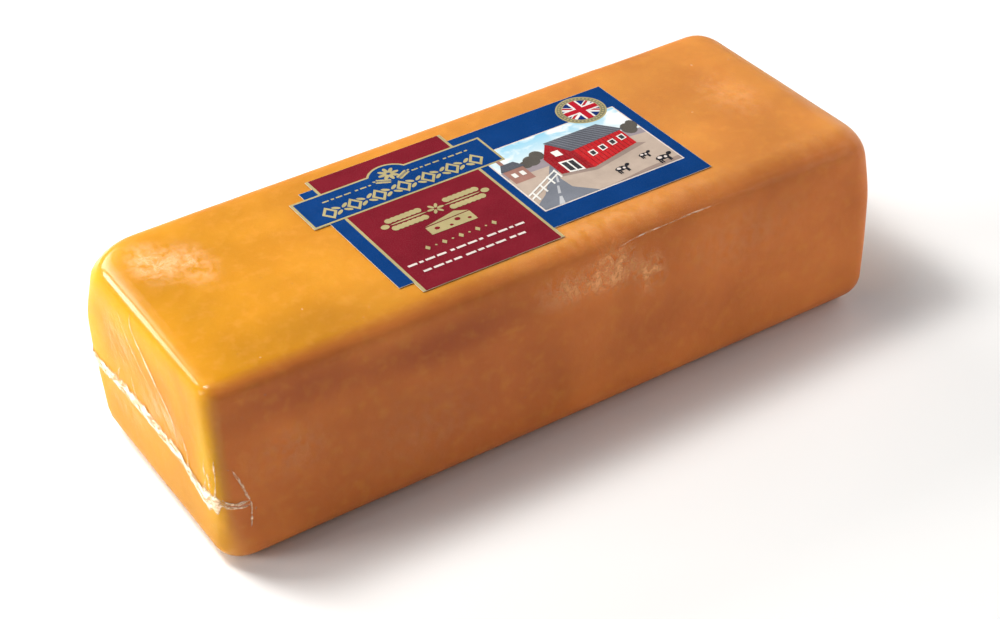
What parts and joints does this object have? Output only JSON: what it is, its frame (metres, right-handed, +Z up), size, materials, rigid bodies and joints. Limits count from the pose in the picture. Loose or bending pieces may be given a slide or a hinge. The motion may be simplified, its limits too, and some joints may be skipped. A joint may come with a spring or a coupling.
{
  "type": "cheddar block",
  "caption": "Long rounded block of orange cheddar sealed in tight clear film, with a welded seam across each end and a flat printed label on top.",
  "frame": {"origin": "middle of the underside, at the height of the surface that the block rests on", "axes": "+X along the block, -Y towards its shown long side, +Z up"},
  "size_m": [0.282, 0.11, 0.0797],
  "materials": {
    "cheese": "orange cheese under tight clear glossy film",
    "label": "satin print in blue, dark red and dull gold"
  },
  "bodies": {
    "root": {"sealed_cheese": "cheese", "label": "label"}
  },
  "joints": []
}
